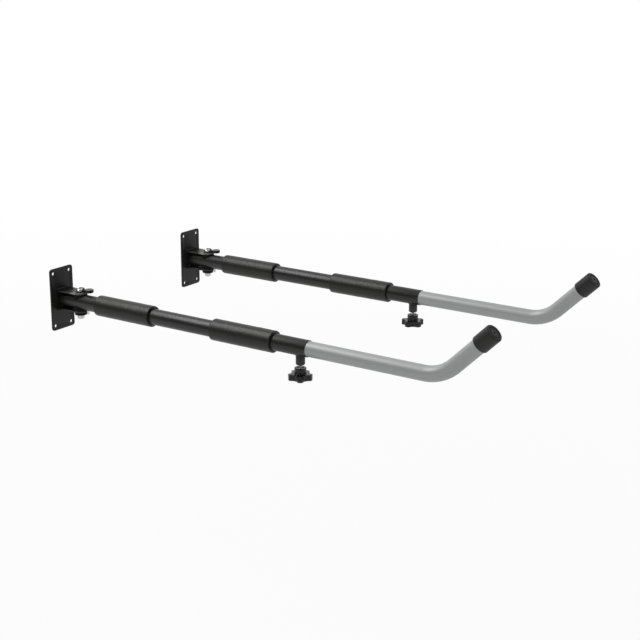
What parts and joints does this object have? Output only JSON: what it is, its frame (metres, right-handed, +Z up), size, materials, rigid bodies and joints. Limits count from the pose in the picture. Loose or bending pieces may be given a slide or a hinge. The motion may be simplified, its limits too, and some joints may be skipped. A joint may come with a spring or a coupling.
{
  "type": "surfboard wall rack",
  "caption": "Folding, telescoping black steel wall arms with foam sleeves, star knob clamps and upturned silver ends, for surfboards.",
  "frame": {"origin": "middle of the left plate's back face, on the wall plane", "axes": "+X along the wall to the right as seen by someone facing the wall, +Y into the wall, so both arms point out along -Y, +Z up"},
  "size_m": [0.485, 0.9992, 0.1712],
  "materials": {
    "black_steel": "satin",
    "zinc_hardware": "satin",
    "silver_tube": "satin",
    "foam": "matte",
    "black_rubber": "satin",
    "gloss_black": "satin",
    "nylon": "satin"
  },
  "bodies": {
    "wall_side": {"wall_plate_left": "black_steel", "upper_ear_left": "black_steel", "lower_ear_left": "black_steel", "hinge_spacer_left": "nylon", "lock_nut_left": "zinc_hardware", "wall_plate_right": "black_steel", "upper_ear_right": "black_steel", "lower_ear_right": "black_steel", "hinge_spacer_right": "nylon", "lock_nut_right": "zinc_hardware"},
    "lever_left": {"clamp_lever_left": "gloss_black", "hinge_bolt_left": "zinc_hardware"},
    "arm_left": {"outer_tube_left": "black_steel", "hinge_insert_left": "nylon", "insert_pin_left": "zinc_hardware", "upper_saddle_left": "nylon", "lower_saddle_left": "nylon", "inner_foam_sleeve_left": "foam", "outer_foam_sleeve_left": "foam", "clamp_boss_left": "black_steel"},
    "knob_left": {"star_knob_left": "gloss_black", "knob_stud_left": "zinc_hardware"},
    "guide_left": {"tube_guide_left": "nylon"},
    "end_left": {"inner_tube_left": "silver_tube", "end_cap_left": "black_rubber"},
    "lever_right": {"clamp_lever_right": "gloss_black", "hinge_bolt_right": "zinc_hardware"},
    "arm_right": {"outer_tube_right": "black_steel", "hinge_insert_right": "nylon", "insert_pin_right": "zinc_hardware", "upper_saddle_right": "nylon", "lower_saddle_right": "nylon", "inner_foam_sleeve_right": "foam", "outer_foam_sleeve_right": "foam", "clamp_boss_right": "black_steel"},
    "knob_right": {"star_knob_right": "gloss_black", "knob_stud_right": "zinc_hardware"},
    "guide_right": {"tube_guide_right": "nylon"},
    "end_right": {"inner_tube_right": "silver_tube", "end_cap_right": "black_rubber"}
  },
  "joints": [
    {"name": "fold_left", "type": "hinge", "parent": "wall_side", "child": "arm_left", "pos_m": [0, -0.053, 0], "axis": [0, 0, 1], "range_deg": [-90, 10]},
    {"name": "lever_turn_left", "type": "hinge", "parent": "wall_side", "child": "lever_left", "pos_m": [0, -0.053, 0], "axis": [0, 0, 1], "range_deg": [-20, 160]},
    {"name": "knob_turn_left", "type": "hinge", "parent": "arm_left", "child": "knob_left", "pos_m": [0, -0.5962, -0.04], "axis": [0, 0, 1], "continuous": true},
    {"name": "extend_left", "type": "slide", "parent": "arm_left", "child": "guide_left", "axis": [0, -1, 0], "range_m": [-0.23, 0.11]},
    {"name": "end_turn_left", "type": "hinge", "parent": "guide_left", "child": "end_left", "pos_m": [0, -0.5, 0], "axis": [0, -1, 0], "continuous": true},
    {"name": "fold_right", "type": "hinge", "parent": "wall_side", "child": "arm_right", "pos_m": [0.421, -0.053, 0], "axis": [0, 0, 1], "range_deg": [-10, 90]},
    {"name": "lever_turn_right", "type": "hinge", "parent": "wall_side", "child": "lever_right", "pos_m": [0.421, -0.053, 0], "axis": [0, 0, 1], "range_deg": [-20, 160]},
    {"name": "knob_turn_right", "type": "hinge", "parent": "arm_right", "child": "knob_right", "pos_m": [0.421, -0.5962, -0.04], "axis": [0, 0, 1], "continuous": true},
    {"name": "extend_right", "type": "slide", "parent": "arm_right", "child": "guide_right", "axis": [0, -1, 0], "range_m": [-0.23, 0.11]},
    {"name": "end_turn_right", "type": "hinge", "parent": "guide_right", "child": "end_right", "pos_m": [0.421, -0.5, 0], "axis": [0, -1, 0], "continuous": true}
  ]
}
